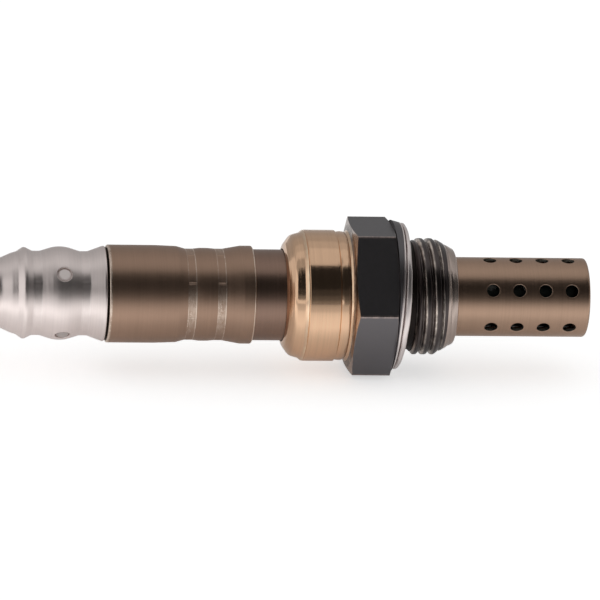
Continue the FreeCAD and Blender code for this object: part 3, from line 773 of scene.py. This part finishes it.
def dress_gasket(skin, start, end):
    """Crushed ring of folded sheet with slightly wrinkled folds, between its two ends."""
    turn = np.radians(skin.angles)
    x, radius, outward, folded, far_x = gasket_outline()
    wave = sum(height * np.sin(count * turn + phase) for height, count, phase in gasket_waves)
    depth = gasket_wrinkle * (1 - np.roll(wave, gasket_wave_shift, axis=1)) * outward
    radius = radius - depth * (gasket_inner_wrinkle + (1 - gasket_inner_wrinkle) * folded)
    x = x + gasket_wrinkle * wave * outward * folded * gasket_wrinkle_lean
    x = np.maximum(seat_x + start + x * (end - start) / far_x, seat_x)
    skin.add(x, radius, closed=True)
    skin.piece("gasket_folds", [plain_steel], "gasket", "gasket_steel", gasket_sharp_angle)


def dress_backing(skin, start):
    """Shaded ring between the hexagon and the gasket's folds."""
    flat = 0 * start
    bore = flat + gasket_bore_diameter / 2 + gasket_backing_clearance
    flare = gasket_diameter / 2 + gasket_backing_flare
    front_r = flare - gasket_backing_flare * start / sum(gasket_start)
    x = np.vstack([flat + seat_x, flat + seat_x, seat_x + start, seat_x + start])
    skin.add(x, np.vstack([bore, flat + flare, front_r, bore]), closed=True)
    skin.piece("gasket_backing", [black_coat], "gasket", "gasket_steel")


def dress_rings():
    """Gasket and its backing, which lean and bow a little."""
    angles = np.linspace(0, 360, gasket_columns, endpoint=False)
    height = np.sin(np.radians(angles))[None, :]
    start = np.polyval(gasket_start, height)
    end = np.polyval(gasket_end, height)
    dress_gasket(Skin(angles), start, end)
    dress_backing(Skin(angles), start)


@dataclass
class Hole:
    """Round hole in a sleeve, with the cell of the surface around it and the gap to the next cell."""
    radius: float
    half_length: float
    half_angle: float
    segments: int
    gap_segments: int
    roll: float = 0.1
    roll_shares: tuple = (1.0, 0.7, 0.4, 0.2, 0.06, 0.0)
    cell_rows: int = 5


def hole_columns(centres, hole):
    """Columns around a perforated sleeve, even over each hole's cell and even between the cells."""
    angles = []
    gap = 360 / len(centres) - 2 * hole.half_angle
    for centre in centres:
        first = centre - hole.half_angle
        last = centre + hole.half_angle
        angles += [first + 2 * hole.half_angle * place / hole.segments for place in range(hole.segments)]
        angles += [last + gap * place / hole.gap_segments for place in range(hole.gap_segments)]
    return np.array(angles)


def cell_boundary(segments):
    """Points around the unit square, from its corner (-1, -1), with even steps on each side."""
    run = np.linspace(-1, 1, segments + 1)[:-1]
    sides = [(run, -1 + 0 * run), (1 + 0 * run, run), (-run, 1 + 0 * run), (-1 + 0 * run, -run)]
    return np.concatenate([np.stack(side, axis=1) for side in sides])


def drill(skin, place, centre, hole, outside, inside, wall_paint):
    """Adds one hole's cell on both faces of a sleeve, with a rolled edge and the wall of the hole."""
    square = cell_boundary(hole.segments)
    surface_radius = float(outside(place))
    edge_u = square[:, 0] * hole.half_length
    edge_v = square[:, 1] * math.radians(hole.half_angle) * surface_radius
    bearing = np.arctan2(edge_v, edge_u)
    share = np.linspace(0, 1, hole.cell_rows)[:, None]
    distance = hole.radius + hole.roll * np.array(hole.roll_shares)[:, None]
    rim_u = np.cos(bearing) * distance
    rim_v = np.sin(bearing) * distance
    u = np.vstack([edge_u * (1 - share) + rim_u[0] * share, rim_u[1:]])
    v = np.vstack([edge_v * (1 - share) + rim_v[0] * share, rim_v[1:]])
    off = hole.roll - (distance[1:] - hole.radius)
    rolled = hole.roll - np.sqrt(np.maximum(hole.roll ** 2 - off ** 2, 0))
    sunk = np.vstack([0 * share, rolled])
    lightening = np.clip(sunk / hole.roll, 0, 1) * (sunk < hole.roll)
    x = place + u
    angle = centre + np.degrees(v / surface_radius)
    top = outside(x) - sunk
    bottom = inside(x)
    skin.add(x.T, top.T, lightening.T, closed=True, angle=angle.T)
    skin.add(x.T, bottom.T, closed=True, angle=angle.T)
    wall = np.stack([top[-1], bottom[-1]], axis=1)
    skin.add(x[-1][:, None], wall, paint=wall_paint, closed=True, angle=angle[-1][:, None])


def perforated_zone(skin, places, centres, hole, outside, inside, wall_paint=0):
    """Adds the part of a sleeve that holds rows of round holes, its cells end to end along the axis."""
    low_x = min(places) - hole.half_length
    high_x = max(places) + hole.half_length
    stations = np.linspace(low_x, high_x, len(places) * hole.segments + 1)[:, None]
    gap = 360 / len(centres) - 2 * hole.half_angle
    for centre in centres:
        first = centre + hole.half_angle
        strip = np.linspace(first, first + gap, hole.gap_segments + 1)[None, :]
        skin.add(stations, outside(stations), angle=strip)
        skin.add(stations, inside(stations), angle=strip)
        for place in places:
            drill(skin, place, centre, hole, outside, inside, wall_paint)


def dress_protector():
    """Perforated probe cover with rolled hole edges."""
    hole = Hole(probe_hole_diameter / 2, probe_hole_pitch / 2, half_angle=19.5, segments=12, gap_segments=7)
    tip_x = probe_high.x
    inner_tip_x = tip_x - protector_wall
    mouth_x = probe_low.x
    flange_x = mouth_x + flange_thickness
    outer = protector_diameter / 2
    inner = outer - protector_wall
    flange = outer + protector_flange
    inner_round = protector_round - protector_wall
    first_x = tip_x - probe_hole_tip_distance
    places = [first_x - column * probe_hole_pitch for column in range(probe_hole_columns)]
    centres = even_angles(probe_hole_angle, probe_hole_rows)
    skin = Skin(hole_columns(centres, hole))
    zone_end = places[0] + hole.half_length
    zone_start = places[-1] - hole.half_length
    end = [(zone_end, outer, 0), (tip_x, outer, protector_round), (tip_x, protector_hub, 0)]
    skin.turned(densified(rounded(end, steps=8), tip_step))
    skin.turned(rounded([(zone_end, inner, 0), (inner_tip_x, inner, inner_round),
                         (inner_tip_x, protector_hub, 0)]))
    for x in (tip_x, inner_tip_x):
        skin.turned([(x, protector_hub), (x, 0)])
    skin.turned([(mouth_x, inner), (mouth_x, flange), (flange_x, flange), (flange_x, outer)])
    skin.turned(densified([(flange_x, outer), (zone_start, outer)]))
    skin.turned([(mouth_x, inner), (zone_start, inner)])
    perforated_zone(skin, places, centres, hole, path_radius([(mouth_x, outer), (tip_x, outer)]),
                    path_radius([(mouth_x, inner), (tip_x, inner)]), wall_paint=1)
    skin.piece("probe_cover", [probe_bronze, hole_steel], "outer_protector", "protector_steel")


def crimp(x, before, after, band, rounds):
    """Knots of one crimped band between two crests, each given by its run and radius."""
    half = band_width / 2
    crest, edge = rounds
    return [
        (x - half - before[0], before[1], crest), (x - half, band, edge),
        (x + half, band, edge), (x + half + after[0], after[1], crest),
    ]


def jaw_relief(x, angle, band_places):
    """Height of the ridges that stand between the crimping jaws, and how worn the bands are."""
    off = np.abs(off_nearest(angle, jaw_angle, jaw_count))
    height = 0 * x * angle
    wear_and_highlight = 0 * x * angle
    patchy = np.cos(np.radians(band_patch_count * angle + band_patch_turn))
    patchy = band_patch_level + (1 - band_patch_level) * patchy
    for place, band in band_places:
        half_angle = math.degrees(jaw_mark_width / 2 / band)
        edge_off = np.abs(x - place) - band_width / 2
        along = 1 - smooth_step(edge_off, -jaw_mark_inset, jaw_mark_overlap)
        ridge = 1 - smooth_step(off, half_angle * jaw_mark_top, half_angle * jaw_mark_foot)
        height = height + jaw_mark_height * ridge * along
        edge = 1 - smooth_step(np.abs(edge_off), band_edge_near, band_edge_far)
        edge_wear = band_edge_wear * (1 + (x > place)) * edge * np.clip(patchy, band_edge_least, 1)
        ridge_wear = jaw_mark_wear * ridge * along * np.clip(patchy, jaw_mark_least, 1)
        for part in (edge_wear, ridge_wear, band_wear * along * np.clip(patchy, 0, 1)):
            wear_and_highlight = np.maximum(wear_and_highlight, part)
    return height, wear_and_highlight


def with_band_rows(path, places):
    """The same outline with more points at both edges of each crimped band."""
    edges = [place + side * (band_width / 2 + off) for place in places for side in (-1, 1)
             for off in band_edge_offsets]
    return sorted(path + list(zip(edges, path_radius(path)(edges))))


def dress_outer_case():
    """Long sleeve with two crimped bands and jaw marks."""
    skin = Skin(spread(even_angles(jaw_angle, jaw_count), jaw_offsets, column_step))
    mouth_x = case_high.x
    tail_x = case_low.x
    first_x = mouth_x - case_first_band_place
    second_x = mouth_x - case_second_band_place
    body = case_diameter / 2
    mouth = case_mouth_diameter / 2
    waist = (case_run, case_waist_diameter / 2)
    crest = (case_crest_run, case_crest_diameter / 2)
    rounds = (crest_round, band_edge_round)
    first = crimp(first_x, waist, crest, case_band_diameter / 2, rounds)
    second = crimp(second_x, crest, (case_mouth_run, mouth), case_second_band_diameter / 2, rounds)
    knots = [(first[0][0] - case_taper_length, body, crest_round)] + first + second
    tail = [(tail_x, body - case_tail_round, 0), (tail_x, body, case_tail_round)]
    outside = densified(rounded(tail + knots + [(mouth_x, mouth, case_mouth_round)])[:-1], short_step)
    outside = with_band_rows(outside, [first_x, second_x])
    edge = rounded([outside[-1] + (0,), (mouth_x, mouth, case_mouth_round), (mouth_x, mouth - case_wall, 0)])
    inner_knots = [(x, r - case_wall, radius) for x, r, radius in knots]
    inside = rounded([(tail_x, body - case_wall, 0)] + inner_knots + [(mouth_x, mouth - case_wall, 0)])
    outer = outside + [tuple(point) for point in edge[1:]]
    path = np.array(outer + densified(inside[::-1])[1:])
    x = path[:, :1]
    height, wear_and_highlight = jaw_relief(x, skin.angles, [(first_x, body), (second_x, body)])
    outer_rows = np.arange(len(path))[:, None] < len(outer)
    # Painted highlight on the rounded mouth and tail edges
    ends = case_mouth_highlight * (x > mouth_x - case_mouth_highlight_share * case_mouth_round)
    ends = ends + case_tail_highlight * (x < tail_x + case_tail_highlight_share * case_tail_round)
    wear_and_highlight = np.maximum(wear_and_highlight, ends)
    skin.add(x, path[:, 1:] + height * outer_rows, wear_and_highlight * outer_rows, closed=True)
    skin.piece("bronze_sleeve", [bronze], "outer_case", "outer_case_steel")


def cover_knots():
    """Outline of the dust cover's outer face, from its end to its skirt."""
    neck = cover_neck_diameter / 2
    band = cover_band_diameter / 2
    rim = cover_rim_diameter / 2
    shoulder = cover_shoulder_diameter / 2
    skirt = cover_skirt_diameter / 2
    crease = shoulder - cover_crease_drop
    rounds = (cover_crest_round, cover_band_edge_round)
    neck_crest = (cover_neck_run, neck)
    crest = (cover_run, cover_crest_diameter / 2)
    back_crimp = crimp(back_band_x, (cover_run, shoulder), crest, band, rounds)
    end_x = cover_low.x
    knots = [(end_x, neck - cover_end_turn, 0), (end_x + cover_end_turn, neck, cover_end_turn)]
    knots += crimp(neck_band_x, neck_crest, neck_crest, cover_neck_band_diameter / 2, rounds)
    knots += [(neck_x, neck, crest_round),
              (crease_x - cover_flare_length, crease - cover_flare, crest_round),
              (crease_x, crease, cover_crease_round), (shoulder_x, shoulder, cover_shoulder_round)]
    knots += back_crimp[1:]
    knots += crimp(front_band_x, crest, (cover_rim_run - cover_rim_length, rim), band, rounds)
    knots += [(rim_x, rim, cover_rim_round), (case_low.x - cover_skirt_gap, skirt, cover_skirt_round),
              (cover_high.x, skirt, 0)]
    return knots


def dress_dust_cover():
    """Silver sleeve with three crimped bands, a shoulder and four vents."""
    radius = vent_diameter / 2
    hole = Hole(radius, radius + vent_margin, half_angle=14.0, segments=12, gap_segments=20)
    centres = even_angles(vent_angle, vent_count)
    skin = Skin(hole_columns(centres, hole))
    knots = cover_knots()
    outside = densified(rounded(knots), short_step)
    outside = with_band_rows(outside, [front_band_x, back_band_x, neck_band_x])
    inside = rounded([(x, r - cover_wall, radius) for x, r, radius in knots])
    band = cover_band_diameter / 2
    marks = [(front_band_x, band), (back_band_x, band), (neck_band_x, cover_neck_diameter / 2)]
    for side in (-1, 1):
        edge = vent_x + side * hole.half_length
        for path, relief in ((outside, True), (inside, False)):
            rows = [point for point in path if side * (point[0] - edge) > 0]
            rows.append((edge, float(path_radius(path)(edge))))
            rows = np.array(sorted(rows))
            x = rows[:, :1]
            height, wear_and_highlight = jaw_relief(x, skin.angles, marks)
            # The skirt inside the seam's gap is painted dark as painted shade
            seam_shade = (x[:-1] > rim_x + seam_shade_edge).astype(int)
            skin.add(x, rows[:, 1:] + height * relief, wear_and_highlight * relief, seam_shade)
    perforated_zone(skin, [vent_x], centres, hole, path_radius(outside), path_radius(inside))
    skin.turned([outside[0], inside[0]])
    skin.turned([outside[-1], inside[-1]])
    skin.piece("silver_cover", [silver, painted_shade], "dust_cover", "cover_steel")


def dress_filter():
    """Filter sleeve that bulges a little into the cover's vents."""
    outside = filter_high.z
    inside = outside - filter_wall
    ends = (filter_low.x, filter_high.x)
    reach = vent_diameter / 2 - vent_clearance
    half_angle = math.degrees(reach / outside)
    centres = even_angles(vent_angle, vent_count)
    skin = Skin(spread(centres, list(filter_offsets * half_angle), filter_column_step))
    rows = np.concatenate([ends[:1], vent_x + filter_offsets * reach, ends[1:]])[:, None]
    around = np.radians(off_nearest(skin.angles, vent_angle, vent_count)) * outside
    off = np.hypot(rows - vent_x, around)
    bulge = filter_bulge * (1 - smooth_step(off, filter_bulge_share * reach, reach))
    skin.add(rows, outside + bulge)
    skin.turned([(x, inside) for x in ends])
    for x in ends:
        skin.turned([(x, outside), (x, inside)])
    skin.piece("vent_filter", [felt], "filter_sleeve", "filter")


dress_housing()
dress_rings()
dress_protector()
dress_outer_case()
dress_dust_cover()
dress_filter()

node_looks = (
    (tube_bronze, ("inner_case",)), (dark_steel, ("inner_protector",)), (rubber, ("grommet",)),
    (powder, ("powder_seal",)),
    (ceramic, ("sensing_element", "heater_rod", "insulator_sleeve", "terminal_separator")),
    (plain_steel, ("lower_packing", "upper_packing", "clamping_washer", "caulking_ring",
                   "separator_holder", "disc_spring")),
    (brass, ("signal_terminal", "ground_terminal", "heater_terminal_a", "heater_terminal_b")),
)
for look, node_names in node_looks:
    for node_name in node_names:
        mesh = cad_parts[node_name].data
        mesh.materials.clear()
        mesh.materials.append(look)
        mesh.polygons.foreach_set("use_smooth", [True] * len(mesh.polygons))
        mesh.set_sharp_from_angle(angle=math.radians(node_sharp_angle))

# Floor: pale, and in the object's reflections brightest just before it and towards its left end
floor_z = min(gasket_low.z, housing_low.z, cover_low.z)
floor_size = 6000.0
floor_colour = (0.9, 0.9, 0.9, 1)
floor_glow = 0.56
mirror_glow_reach = 160.0
mirror_glow_ends = (0.0, 0.14)
mirror_glow_stops = ((0.6, 0.14), (0.8, 0.48), (0.88, 0.58), (0.93, 0.28))
left_glow_near = -30.0
left_glow_far = -85.0
left_glow_gain = 1.58
world_level = 0.55

# Light strips over the object: lowest and highest elevation and brightness of each
card_distance = 420.0
card_left = -1500.0
card_right = 1500.0
strip_levels = ((60, 68, 0.06), (68, 105, 0.64), (105, 124, 0.52), (124, 145, 0.42), (145, 178, 0.38))

# Cards around the object, dark before it and lighter at both sides: the azimuths between which they stand,
# and the lowest and highest elevation and brightness of each
dome_radius = 400.0
dome_x = -20.0
domes = (
    ("dark", (-13, 0, 14, 28, 42, 56, 74),
     ((-1.6, 5, 0.2), (5, 13, 0.1), (13, 24, 0.05), (24, 62, 0.02))),
    ("right", (74, 86, 98), ((-1.6, 13, 0.25), (13, 32, 0.08), (32, 75, 0.6))),
    ("front_left", (-46, -36, -25, -13),
     ((-1.6, 5, 0.9), (5, 13, 0.2), (13, 24, 0.05), (24, 62, 0.02))),
    ("left", (-86, -72, -59, -46), ((-1.6, 40, 0.85), (40, 75, 0.4))),
)
left_card_x = -500.0
left_card_front = -20.0
left_card_back = 700.0
left_card_top = 520.0
left_card_level = 0.7

# Camera: the rise is in pixels of the picture
picture_size = 600
camera_distance = 860.0
camera_yaw = -7.8
camera_elevation = 14.8
camera_roll = 2.5
camera_lens = 335.4
camera_target = (-17.0, 0, 0)
object_rise = 4.9


def emitter(name, strength):
    """Plain white light-giving material."""
    material, tree = new_material(name)
    tree.nodes.clear()
    glow = add_node(tree, "ShaderNodeEmission", Strength=strength)
    add_node(tree, "ShaderNodeOutputMaterial", Surface=glow.outputs["Emission"])
    return material


def panel(name, corners, material):
    """Flat studio card that the camera doesn't see."""
    mesh = bpy.data.meshes.new(name)
    mesh.from_pydata([Vector(corner) * mm for corner in corners], [], [(0, 1, 2, 3)])
    mesh.materials.append(material)
    card = placed(name, mesh)
    card.visible_camera = False
    card.visible_diffuse = False
    return card


def strip_panel(name, low, high, material):
    """Card along the axis between two elevations, counted from the front horizon over the top."""
    corners = []
    for elevation, x in ((low, card_left), (low, card_right), (high, card_right), (high, card_left)):
        turn = math.radians(elevation)
        corners.append((x, -card_distance * math.cos(turn), card_distance * math.sin(turn)))
    panel(name, corners, material)


def dome_panel(name, azimuths, elevations, material):
    """Card on a dome around the object, between two azimuths, counted from the front, and two elevations."""
    corners = []
    for side, rise in ((0, 0), (1, 0), (1, 1), (0, 1)):
        turn = math.radians(azimuths[side])
        lift = math.radians(elevations[rise])
        across = dome_radius * math.cos(lift)
        height = dome_radius * math.sin(lift)
        corners.append((dome_x + across * math.sin(turn), -across * math.cos(turn), height))
    panel(name, corners, material)


def make_lights():
    """Strips above the object, and the cards around it."""
    for low, high, level in strip_levels:
        strip_panel(f"strip_{low:.0f}", low, high, emitter(f"glow_{low:.0f}", level))
    for title, sectors, levels in domes:
        for low, high, level in levels:
            glow = emitter(f"{title}_glow_{low:.0f}", level)
            for sector in zip(sectors, sectors[1:]):
                dome_panel(f"{title}_{low:.0f}_{sector[0]}", sector, (low, high), glow)
    corners = [(left_card_x, left_card_front, floor_z), (left_card_x, left_card_back, floor_z),
               (left_card_x, left_card_back, left_card_top), (left_card_x, left_card_front, left_card_top)]
    panel("left_card", corners, emitter("left_glow", left_card_level))


def seen_rays(tree, rays):
    """Strength socket that is 1 for what the camera, mirrors and glass see."""
    seen = arithmetic(tree, "MAXIMUM", rays["Is Camera Ray"], rays["Is Glossy Ray"])
    return arithmetic(tree, "MAXIMUM", seen, rays["Is Transmission Ray"])


def make_world():
    """White surroundings for the camera and mirrors, and a plain soft level for everything else."""
    world = bpy.data.worlds.new("studio")
    bpy.context.scene.world = world
    world.use_nodes = True
    tree = world.node_tree
    backdrop = tree.nodes["Background"]
    backdrop.inputs["Color"].default_value = (1, 1, 1, 1)
    seen = seen_rays(tree, add_node(tree, "ShaderNodeLightPath").outputs)
    feed(tree, backdrop.inputs["Strength"], ranged(tree, seen, world_level, 1.0))


def reflected_glow(tree):
    """Brightness of the floor in the object's reflections."""
    place = add_node(tree, "ShaderNodeTexCoord").outputs["Object"]
    split = add_node(tree, "ShaderNodeSeparateXYZ", Vector=place).outputs
    nearness = ranged(tree, split["Y"], 0.0, 1.0, From_Min=-mirror_glow_reach * mm, From_Max=0.0)
    ramp = add_node(tree, "ShaderNodeValToRGB", Fac=nearness)
    elements = ramp.color_ramp.elements
    for element, level in zip(elements, mirror_glow_ends):
        element.color = (level, level, level, 1)
    for stop, level in mirror_glow_stops:
        elements.new(stop).color = (level, level, level, 1)
    leftward = ranged(tree, split["X"], 1.0, left_glow_gain, From_Min=left_glow_near * mm,
                      From_Max=left_glow_far * mm)
    return arithmetic(tree, "MULTIPLY", ramp.outputs["Color"], leftward)


def make_floor():
    """Pale floor that keeps the object's soft shadow."""
    material, tree = new_material("floor_look")
    tree.nodes.clear()
    rays = add_node(tree, "ShaderNodeLightPath").outputs
    level = add_node(tree, "ShaderNodeMix", Factor=rays["Is Camera Ray"])
    feed(tree, level.inputs[2], reflected_glow(tree))
    feed(tree, level.inputs[3], floor_glow)
    strength = arithmetic(tree, "MULTIPLY", seen_rays(tree, rays), level.outputs[0])
    matt = add_node(tree, "ShaderNodeBsdfDiffuse", Color=floor_colour)
    glow = add_node(tree, "ShaderNodeEmission", Strength=strength)
    total = add_node(tree, "ShaderNodeAddShader")
    feed(tree, total.inputs[0], matt.outputs["BSDF"])
    feed(tree, total.inputs[1], glow.outputs["Emission"])
    add_node(tree, "ShaderNodeOutputMaterial", Surface=total.outputs["Shader"])
    half = floor_size / 2
    corners = [(x, y, floor_z) for x, y in ((-half, -half), (half, -half), (half, half), (-half, half))]
    floor = panel("floor", corners, material)
    floor.visible_camera = True
    floor.visible_diffuse = True


def make_camera():
    """Long lens at the photograph's angle."""
    lens = bpy.data.cameras.new("camera")
    lens.lens = camera_lens
    lens.sensor_width = 36
    lens.clip_start = 0.01
    lens.clip_end = 50
    lens.shift_y = -object_rise / picture_size
    camera = placed("camera", lens)
    yaw = math.radians(camera_yaw)
    rise = math.radians(camera_elevation)
    way = Vector((math.sin(yaw) * math.cos(rise), -math.cos(yaw) * math.cos(rise), math.sin(rise)))
    aim = (-way).to_track_quat("-Z", "Y").to_matrix().to_4x4()
    roll = Matrix.Rotation(math.radians(camera_roll), 4, "Z")
    place = Matrix.Translation((Vector(camera_target) + way * camera_distance) * mm)
    camera.matrix_world = place @ aim @ roll
    bpy.context.scene.camera = camera


make_world()
make_floor()
make_lights()
make_camera()
bpy.context.scene.view_settings.view_transform = "Standard"
